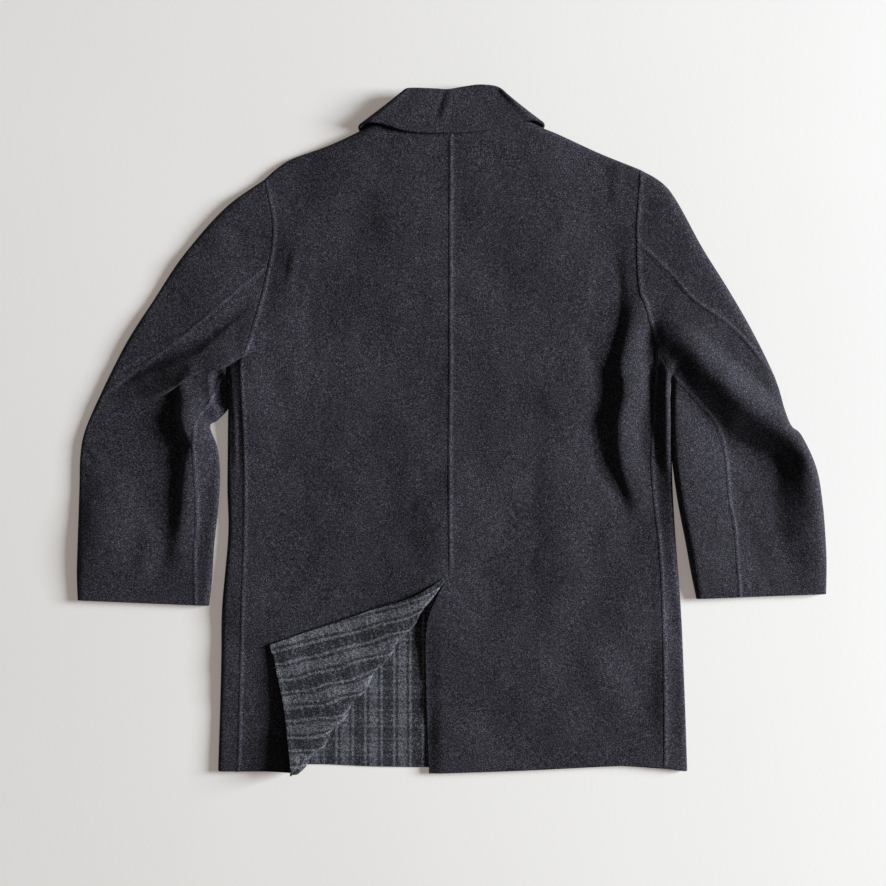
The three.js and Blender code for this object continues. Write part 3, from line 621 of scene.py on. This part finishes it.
def sample(maps, xy):
    place = np.clip(xy - mapLow, 0, mapHigh - mapLow - 1.001)
    i, j = np.floor(place).astype(int).T
    fx, fy = (place - np.floor(place)).T
    return [
        (m[j, i] * (1 - fx) + m[j, i + 1] * fx) * (1 - fy)
        + (m[j + 1, i] * (1 - fx) + m[j + 1, i + 1] * fx) * fy
        for m in maps
    ]


# The edges where the two layers join.
folded = ("sideEdge", "shoulder", "ringsOut", "ringsIn")
edges = [smoothLine(side[key], 16) for side in sides.values() for key in folded]
edgeStarts = np.vstack([line[:-1] for line in edges])
edgeEnds = np.vstack([line[1:] for line in edges])
nearEdge = np.zeros(mapX.shape, bool)
for spot in edgeStarts[::2]:
    nearEdge[windowOf(spot[None], coat["widestRoll"] + 8)] = True


def fromEdge(xy):
    # How far inside the nearest of those edges each place is, or 99 where that is far.
    depth = np.full(len(xy), 99.0)
    cell = np.clip(np.round(xy - mapLow).astype(int), 0, None)
    near = np.nonzero(nearEdge[cell[:, 1], cell[:, 0]])[0]
    run = edgeEnds - edgeStarts
    for chunk in np.array_split(near, max(1, len(near) // 3000)):
        place = xy[chunk][:, None]
        share = np.clip(((place - edgeStarts) * run).sum(-1) / (run**2).sum(-1), 0, 1)
        depth[chunk] = np.linalg.norm(place - (edgeStarts + share[..., None] * run), axis=-1).min(1)
    return depth


def onCoat(which, places, edge=None):
    # The middle of the upper (1) or lower (-1) layer over these places. Those that edge names are the border.
    xy = places.reshape(-1, 2)
    rise, hollow, leanX, leanY = sample([riseMap, hollowMap, leanXMap, leanYMap], xy)
    half = (rise - coat["tableMid"]) / 2
    depth = fromEdge(xy)
    if edge is not None:
        depth = np.where(edge.ravel(), 0, depth)
    onBody = comingIn("bodyIn", np.abs(xy[:, 0])) * comingIn("bodyDown", xy[:, 1])
    widest = coat["widestRoll"] * (1 - onBody) + coat["sideRoll"] * onBody
    roll = np.clip(half**2 / 1.6, coat["leastRoll"], widest)
    lift = np.sqrt(1 - (1 - np.clip(depth / roll, 0, 1)) ** 2)
    points = np.column_stack([xy, coat["tableMid"] + half * (1 + which * lift)])
    if which > 0:
        points[:, :2] += np.stack([leanX, leanY], -1) * lift[:, None]
    else:
        underNeck = comingIn("underNeckUp", xy[:, 1]) * comingIn("underNeckIn", np.abs(xy[:, 0]))
        points[:, 2] += lift * (layer * underNeck + hollow * (1 - underNeck))
    return {"points": points.reshape(*places.shape[:-1], 3), "cloth": places.copy(), "looks": which}


# ---- walls of cloth

def joined(patches):
    # One middle surface from patches that share borders: points, normals, cloth places and faces. Each patch
    # looks up (1), down (-1) or the way that its net turns (0).
    points = np.vstack([patch["points"].reshape(-1, 3) for patch in patches])
    cloth = np.vstack([patch["cloth"].reshape(-1, 2) for patch in patches])
    _, firstOf, ids = np.unique(np.round(points, 2), axis=0, return_index=True, return_inverse=True)
    points, cloth, ids = points[firstOf], cloth[firstOf], ids.ravel()
    normals, faces, offset = np.zeros((len(points), 3)), [], 0
    for patch in patches:
        rows, columns = patch["points"].shape[:2]
        grid = ids[offset:offset + rows * columns].reshape(rows, columns)
        offset += rows * columns
        quads = np.stack([grid[:-1, :-1], grid[:-1, 1:], grid[1:, 1:], grid[1:, :-1]], -1).reshape(-1, 4)
        corner = points[quads]
        across = np.cross(corner[:, 2] - corner[:, 0], corner[:, 3] - corner[:, 1])
        if patch["looks"] * across[:, 2].sum() < 0:
            quads, across = quads[:, ::-1], -across
        faces.append(quads)
        for column in quads.T:
            np.add.at(normals, column, across)
    normals /= np.maximum(np.linalg.norm(normals, axis=1), 1e-9)[:, None]
    return points, normals, cloth, np.vstack(faces)


def cleaned(quads):
    # Faces without repeated corners, as lists.
    made = []
    for quad in quads.tolist():
        face = [v for i, v in enumerate(quad) if v != quad[i - 1]]
        if len(set(face)) == len(face) and len(face) > 2:
            made.append(face)
    return made


def middleOf(patches):
    # The middle surface of a piece, with its border as pairs of points, and the way out across that border.
    points, normals, cloth, quads = joined(patches)
    faces = cleaned(quads)
    edges = {(a, b) for face in faces for a, b in zip(face, face[1:] + face[:1])}
    starts, ends = np.array([edge for edge in sorted(edges) if edge[::-1] not in edges]).T
    out = np.zeros_like(points)
    way = np.cross(points[ends] - points[starts], normals[starts])
    for ids in (starts, ends):
        np.add.at(out, ids, way)
    rim = np.unique(starts)
    out[rim] -= (out[rim] * normals[rim]).sum(1)[:, None] * normals[rim]
    out[rim] /= np.maximum(np.linalg.norm(out[rim], axis=1), 1e-9)[:, None]
    return {"points": points, "normals": normals, "cloth": cloth, "faces": faces,
            "starts": starts, "ends": ends, "rim": rim, "out": out}


def findSeams(middles):
    # A border is sewn where another piece's border runs along it.
    spots = []
    for name, middle in middles.items():
        first, last = middle["points"][middle["starts"]], middle["points"][middle["ends"]]
        for share in np.linspace(0, 1, 7)[:-1]:
            spots += [(name, spot) for spot in first + share * (last - first)]
    tree = KDTree(len(spots))
    for i, (name, spot) in enumerate(spots):
        tree.insert(spot, i)
    tree.balance()
    for name, middle in middles.items():
        around = [tree.find_range(middle["points"][v], coat["sewnWithin"]) for v in middle["rim"]]
        middle["sewn"] = np.array([any(spots[i][0] != name for _, i, _ in found) for found in around])


def makeWall(name, middle, thickness):
    points, normals, cloth, faces = (middle[key] for key in ("points", "normals", "cloth", "faces"))
    starts, ends, rim, out = (middle[key] for key in ("starts", "ends", "rim", "out"))
    # The rim is rounded, so the middle surface ends a little before the border: half a thickness where
    # the edge is free, and less where it is pressed against the next piece.
    spacing = np.full(len(points), 9.0)
    isRim = np.zeros(len(points), bool)
    isRim[rim] = True
    corners = np.array([face + face[-1:] if len(face) == 3 else face for face in faces])
    for i, j in ((0, 1), (1, 2), (2, 3), (3, 0), (0, 2), (1, 3)):
        a, b = corners[:, i], corners[:, j]
        reach = np.linalg.norm(points[a] - points[b], axis=1)
        for one, other in ((a, b), (b, a)):
            use = isRim[one] & ~isRim[other] & (reach > 0)
            np.minimum.at(spacing, one[use], reach[use])
    half, gap = thickness / 2, coat["seamGap"] / 2
    back = np.zeros(len(points))
    back[rim] = np.minimum(np.where(middle["sewn"], coat["seamRound"], half + gap), 0.6 * spacing[rim])
    bulge = np.maximum(back - gap, 0.05)
    points = points - back[:, None] * out
    count = len(points)
    turns = np.radians([30, 60, 90, 120, 150])
    vertices = [points + half * normals, points - half * normals]
    for turn in turns:
        outwards = (bulge[rim] * math.sin(turn))[:, None] * out[rim]
        vertices.append(points[rim] + half * math.cos(turn) * normals[rim] + outwards)
    place = np.zeros(count, int)
    place[rim] = np.arange(len(rim))
    lines = [(starts, ends)]
    for k in range(len(turns)):
        lines.append(tuple(2 * count + k * len(rim) + place[ids] for ids in (starts, ends)))
    lines.append((starts + count, ends + count))
    inner = [[v + count for v in face[::-1]] for face in faces]
    rimFaces = []
    for (a, b), (c, d) in zip(lines[:-1], lines[1:]):
        rimFaces += np.stack([b, a, c, d], -1).tolist()
    mesh = bpy.data.meshes.new(name)
    mesh.from_pydata((np.vstack(vertices) * unit + origin).tolist(), [], faces + inner + rimFaces)
    for material in (materials["outside"], materials["inside"]):
        mesh.materials.append(material)
    slots = np.zeros(len(mesh.polygons), np.int32)
    slots[len(faces):2 * len(faces)] = 1
    mesh.polygons.foreach_set("material_index", slots)
    mesh.polygons.foreach_set("use_smooth", np.ones(len(mesh.polygons), bool))
    flatPlace = np.vstack([cloth, cloth, *[cloth[rim]] * len(turns)])
    flatPlace = np.column_stack([flatPlace, np.zeros(len(flatPlace))]).ravel()
    mesh.attributes.new("cloth", "FLOAT_VECTOR", "POINT").data.foreach_set("vector", flatPlace)
    # Painted highlight along the seam ridges, on cloth that faces up and not on the collar.
    seamHighlight = np.where((normals[:, 2] > 0) & (name != "collar"), sample([seamHighlightMap], cloth)[0], 0)
    seamHighlight = np.concatenate([seamHighlight, seamHighlight, *[seamHighlight[rim]] * len(turns)])
    mesh.attributes.new("seamHighlight", "FLOAT", "POINT").data.foreach_set("value", seamHighlight)
    mesh.update()
    piece = bpy.data.objects.new(name, mesh)
    bpy.context.scene.collection.objects.link(piece)
    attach(piece, "root")
    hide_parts(name)
    a, b, c, d = points[corners.T]
    area = 0.5 * np.linalg.norm(np.cross(c - a, d - b), axis=1).sum() * unit**2
    triangles = sum(len(face.vertices) - 2 for face in mesh.polygons)
    print(f"{name}: {triangles} triangles, {area:.3f} square metres of cloth")
    return piece


# ---- backs

def inARow(first, second, step, kinds):
    # Places along two lines, one after the other, and which of them is the last on the first line.
    ahead = stations(lengthOf(smoothLine(first)), step, start=kinds[0])
    after = stations(lengthOf(smoothLine(second)), step, start=kinds[1], end=kinds[2])
    return np.vstack([along(first, ahead), along(second, after)[1:]]), len(ahead) - 1


def levels(y):
    return (y - y[0]) / (y[-1] - y[0])


def makeBack(name):
    side = sides[name]
    first, _ = inARow(side["sideSeam"], side["backArmhole"], coat["fine"], (None, "seam", "seam"))
    split = int(np.argmin(np.abs(first[:, 1] - coat["ventRow"])))
    low, high = levels(first[:split + 1, 1]), levels(first[split:, 1])
    if name == "left":
        fold, roll, _ = foldLine(low)
        vent = fold - np.column_stack([roll, 0 * roll])
    else:
        vent = along(rightVentEdge, low)
    last = np.vstack([vent, along(centreBack, high)[1:]])
    top, shoulderEnd = inARow(side["shoulder"], side["backNeck"], coat["fine"], ("ridge", None, "ridge"))
    bottom = along(side["backHem"], sharesOf(top))
    first[0], last[0] = bottom[0], bottom[-1]
    plan = net(first, last, bottom, top)
    edge = np.zeros(plan.shape[:2], bool)
    edge[-1, :shoulderEnd + 1] = True
    patches = [onCoat(1, plan, edge)]
    if name == "left":
        patches.append(turnedCorner(patches[0], split, low))
    return patches


def foldLine(shares):
    # The line along which the corner is turned over, how round the fold is and how far it stands off.
    rows = shares * (len(turned["fold"]) - 1)
    fold, roll, lift = (splineAt(turned[key], rows) for key in ("fold", "round", "lift"))
    run = shares * lengthOf(smoothLine(turned["fold"]))
    wave = np.sin(2 * math.pi * run / turned["scallopLength"]) * turned["scallop"]
    wave *= smoothStep(shares, *turned["scallopIn"]) * smoothStep(shares, *turned["scallopOut"])
    return fold + wave[:, None] * np.array([0.8, -0.6]), roll, lift


def turnedCorner(back, split, shares):
    rows = shares * (len(turned["fold"]) - 1)
    fold, roll, lift = foldLine(shares)
    cornerRow, ventRows = len(turned["hemEdge"]) - 1, len(turned["ventEdge"]) - 1
    onHem = (rows <= cornerRow)[:, None]

    def hemAndVent(run, corner):
        return np.clip(run / corner, 0, 1), np.clip((run - corner) / (run[-1] - corner), 0, 1)

    hem, vent = hemAndVent(rows, cornerRow)
    hemEdge = splineAt(turned["hemEdge"], hem * cornerRow)
    free = np.where(onHem, hemEdge, splineAt(turned["ventEdge"], vent * ventRows))
    hem, vent = hemAndVent(runOf(free), np.interp(cornerRow, rows, runOf(free)))
    cut = np.where(onHem, between(*turned["cutHem"], hem), between(*turned["cutVent"], vent))
    start = back["points"][:split + 1, -1]
    turns = np.radians(np.linspace(-90, 90, turned["bendSteps"] + 1)[1:])
    bend = np.stack([
        np.stack([fold[:, 0] - roll + roll * math.cos(turn), fold[:, 1],
                  start[:, 2] + roll + roll * math.sin(turn)], -1)
        for turn in turns
    ], 1)
    steps = np.linspace(0, 1, turned["flatSteps"] + 1)[1:]
    flat = between(bend[:, -1:, :2], free[:, None], steps[None, :])
    topZ = start[:, 2] + 2 * roll
    under = sample([riseMap], flat.reshape(-1, 2))[0].reshape(flat.shape[:2])
    z = topZ[:, None] + (under + lift[:, None] - topZ[:, None]) * smoothStep(steps, 0, 1)[None]
    buckle = sum(height * np.sin(rows * rate + shift) for height, rate, shift in turned["buckles"])
    z += buckle[:, None] * np.sin(math.pi * steps) ** 2
    lying = np.concatenate([flat, z[..., None]], -1)
    points = np.concatenate([start[:, None], bend, lying], 1)
    points[-1] = start[-1]
    lengths = np.linalg.norm(np.diff(points, axis=1), axis=-1)
    run = np.concatenate([np.zeros((len(rows), 1)), np.cumsum(lengths, 1)], 1)
    share = run / np.maximum(run[:, -1:], 1e-6)
    # The fold's waves are left out of the cloth's places, so that the stripes stay straight.
    evenFold = splineAt(turned["fold"], rows) - np.column_stack([roll, 0 * roll])
    cloth = evenFold[:, None] * (1 - share[..., None]) + cut[:, None] * share[..., None]
    return {"points": points, "cloth": cloth, "looks": 0}


# ---- fronts

# Rows of the strip on the back, from the side's folded edge to the side seam.
stripShares = [0, 0.015, 0.05, 0.11, 0.18, 0.26, 0.35, 0.45, 0.55, 0.64, 0.72, 0.8, 0.86, 0.91, 0.96, 1]


def makeFront(name):
    side = sides[name]
    first, low = inARow(side["sideEdge"], side["frontArmhole"], coat["plain"], (None, "seam", "seam"))
    edgeX = coat["frontOverlap"][name]
    top, shoulderEnd = inARow(side["shoulder"], side["frontNeck"], coat["plain"], ("fold", None, None))
    hemY, neckY = side["frontHem"][-1][1], side["frontNeck"][-1][1]
    last = np.column_stack([np.full(len(first), edgeX), hemY + (neckY - hemY) * levels(first[:, 1])])
    bottom = along(side["frontHem"], sharesOf(top))
    plan = net(first, last, bottom, top)
    edge = np.zeros(plan.shape[:2], bool)
    edge[:low + 1, 0] = True
    edge[-1, :shoulderEnd + 1] = True
    body = onCoat(-1, plan, edge)
    if name == "right":
        body["points"][..., 2] += layer * comingIn("rightFront", plan[..., 0])
    seam = along(side["sideSeam"], sharesOf(first[:low + 1]))
    stripPlan = between(first[:low + 1, None], seam[:, None], [stripShares])
    stripEdge = np.zeros(stripPlan.shape[:2], bool)
    stripEdge[:, 0] = True
    return [body, onCoat(1, stripPlan, stripEdge)]


# ---- sleeves

def crossing(a, b, path):
    # Where the line from a to b meets a path, as a part of its length.
    for p, q in zip(path[:-1], path[1:]):
        d, e = b - a, q - p
        cross = d[0] * e[1] - d[1] * e[0]
        where = ((p[0] - a[0]) * e[1] - (p[1] - a[1]) * e[0]) / cross
        on = ((p[0] - a[0]) * d[1] - (p[1] - a[1]) * d[0]) / cross
        if -0.02 <= on <= 1.02 and 0 < where < 1:
            return where
    return 1.0


# Steps between two rings, about how wide each part is, and how the armhole's curve fades along the sleeve.
sleeveNet = {
    "perRing": 20, "below": 165, "outer": 90, "middle": 150, "inner": 42, "bowRings": 3, "bowFall": 3.4,
}


def makeSleeve(name):
    side = sides[name]
    ringCount = len(side["ringsOut"])
    upper = smoothLine(side["backArmhole"])[::-1]
    topStart = np.vstack([upper, side["sideEdge"][-1]])
    underStart = smoothLine(side["frontArmhole"])[::-1]
    toSeam = np.linalg.norm(topStart - np.array(side["backSeam"][0]), axis=1)
    seamShare = sharesOf(topStart)[int(toSeam.argmin())]
    outs, ins = np.array(side["ringsOut"], float), np.array(side["ringsIn"], float)
    backPath = np.array([along(topStart, seamShare, smooth=False), *side["backSeam"][1:]])
    underPath = np.array(side["underSeam"], float)
    upperCuts = [seamShare, *[crossing(outs[k], ins[k], backPath) for k in range(1, backSeamRing)]]
    upperCuts += [0.0] * (ringCount - backSeamRing)
    lowerCuts = [1.0, *[crossing(outs[k], ins[k], underPath) for k in range(1, ringCount)]]
    places = np.linspace(0, ringCount - 1, (ringCount - 1) * sleeveNet["perRing"] + 1)
    outer, inner = splineAt(outs, places), splineAt(ins, places)
    upperCut = np.clip(splineAt(upperCuts, places), 0, 1)
    upperCut[places >= backSeamRing] = 0
    lowerCut = np.clip(splineAt(lowerCuts, places), 0, 1)
    bow = np.clip(1 - places / sleeveNet["bowRings"], 0, 1) ** sleeveNet["bowFall"]

    def strip(key, kinds, start, end, rows=len(places)):
        # One layer's net, between two parts of the way from the outer edge to the inner one.
        which, step, line = (-1, "plain", underStart) if key == "below" else (1, "fine", topStart)
        shares = start + (end - start) * stations(sleeveNet[key], coat[step], *kinds)[None]
        curve = along(line, shares[0], smooth=False) - between(line[0], line[-1], shares[0])
        plan = between(outer[:, None], inner[:, None], shares) + bow[:, None, None] * curve[None]
        return onCoat(which, plan[:rows], ((shares <= 1e-9) | (shares >= 1 - 1e-9))[:rows])

    none, whole = np.zeros((len(places), 1)), np.ones((len(places), 1))
    toBack, toUnder = upperCut[:, None], lowerCut[:, None]
    below = strip("below", ("fold", "fold"), none, whole)
    outerPart = strip("outer", ("fold", "ridge"), none, toBack, backSeamRing * sleeveNet["perRing"] + 1)
    middle = strip("middle", ("ridge", "ridge"), toBack, toUnder)
    innerPart = strip("inner", ("fold", "ridge"), whole, toUnder)
    return [below, outerPart, innerPart], [middle]


# ---- collar

# How round the fold is at the back and the sides, the air under the fall, and the net's rows and columns.
collarLook = {
    "back": 3.5, "side": 3.0, "onBack": 1.9, "rows": 8, "columns": 5, "middle": 9, "fallFrom": 5,
    "lump": 0.5, "lumpSize": 34,
    # The slanting crease of the fall and the ridge beside it: height, width and where they come in.
    "creaseX": -15, "creaseY": 410, "slant": 0.3, "crease": (-1.2, 4.0), "creaseUp": (386, 404),
    "ridge": (1.4, 7.0), "ridgeUp": (384, 405), "ridgeBeside": 8,
}


def makeCollar():
    layerMid = coat["tableMid"] + layer

    def heightAt(x, y):
        return float(sample([riseMap], np.array([[x, y]], float))[0][0])

    def station(side, part, t, share, isSide=False):
        isBack = part == "back"
        roll = along(side[part + "Roll"], share)
        end = along(side[part + "Edge"], share)
        seam = along(side["backNeck" if isBack else "frontNeck"], t)
        start = onCoat(1 if isBack else -1, seam[None], np.array([t == 0]))["points"][0]
        radius = collarLook["side" if isSide else "back"] if isBack else layer / 2
        inset = between(roll, seam, radius / np.linalg.norm(roll - seam))
        standZ = start[2] if isSide else heightAt(*seam) if isBack else layerMid
        turnUp = 0 if isSide else radius if isBack else -radius
        stand = [
            [*between(seam, inset, s), start[2] + (standZ - start[2]) * smoothStep(s, 0, 0.7)]
            for s in (0.35, 0.7, 1)
        ]
        bend = []
        for degrees in (-45, 0, 45):
            turn = math.radians(degrees)
            out = 0.5 + degrees / 120 if isSide else math.cos(turn)
            bend.append([*between(inset, roll, out), standZ + turnUp * (1 + math.sin(turn))])
        fallZ = standZ + 2 * turnUp
        onBack = layer + collarLook["onBack"]
        endZ = start[2] if isSide else heightAt(*end) + onBack if isBack else coat["tableMid"]
        fallFrom = roll if isSide else inset
        fall = [
            [*between(fallFrom, end, s), fallZ + (endZ - fallZ) * smoothStep(s, 0, 1)]
            for s in (0, 0.3, 0.65, 1)
        ]
        return [start, *stand, *bend, *fall]

    def half(side):
        return [
            *[station(side, "front", t, t * 4 / 3) for t in (0.75, 0.5, 0.25)],
            station(side, "front", 0, 0.07), station(side, "back", 0, 0, isSide=True),
            station(side, "back", 0, 0.1),
            *[station(side, "back", t, t) for t in (0.25, 0.5, 0.75)],
        ]

    left, right = sides["left"], sides["right"]
    control = np.array([*half(left), station(left, "back", 1, 1), *half(right)[::-1]], float)
    rows = np.linspace(0, len(control) - 1, (len(control) - 1) * collarLook["rows"] + 1)
    fine = splineAt(control, rows)
    columns = np.linspace(0, control.shape[1] - 1, (control.shape[1] - 1) * collarLook["columns"] + 1)
    points = np.swapaxes(splineAt(np.swapaxes(fine, 0, 1), columns), 0, 1)
    # The crease, the ridge and the soft lumps of the fall at the back.
    fromMiddle = np.abs(rows - collarLook["middle"])
    onFall = np.clip((columns - collarLook["fallFrom"]) / 3, 0, 1)
    lie = onFall[None] * smoothStep(fromMiddle, 5.5, 4)[:, None]
    x, y = points[..., 0], points[..., 1]
    fromCrease = x - collarLook["creaseX"] - (y - collarLook["creaseY"]) * collarLook["slant"]
    (depth, wide), (height, broad) = collarLook["crease"], collarLook["ridge"]
    crease = depth * np.exp(-((fromCrease / wide) ** 2)) * smoothStep(y, *collarLook["creaseUp"])
    ridge = height * np.exp(-(((fromCrease - collarLook["ridgeBeside"]) / broad) ** 2))
    ridge *= smoothStep(y, *collarLook["ridgeUp"])
    lumpMap = softNoise(collarLook["lumpSize"], 12)
    lumps = collarLook["lump"] * sample([lumpMap], points[..., :2].reshape(-1, 2))[0].reshape(x.shape)
    points[..., 2] += lie * (crease + ridge + lumps)
    cloth = np.stack(np.broadcast_arrays(rows[:, None] * 30, columns[None] * 9), -1)
    return [{"points": points, "cloth": cloth, "looks": 0}]


# ---- putting it together

makeCamera()
makeLights()
makeFloor()
materials = {"outside": makeWool(), "inside": makeCheck()}
print("camera, light and materials")

patchesOf = {}
for name in ("left", "right"):
    patchesOf["back_" + name] = makeBack(name)
    patchesOf["front_" + name] = makeFront(name)
    patchesOf["top_sleeve_" + name], patchesOf["under_sleeve_" + name] = makeSleeve(name)
patchesOf["collar"] = makeCollar()

# Each piece's wall of cloth, made from its middle surface; its triangles and its area are printed.
middles = {name: middleOf(patches) for name, patches in patchesOf.items()}
findSeams(middles)
for name, middle in middles.items():
    piece = makeWall(name, middle, coat["collarThickness" if name == "collar" else "thickness"])
print("coat")
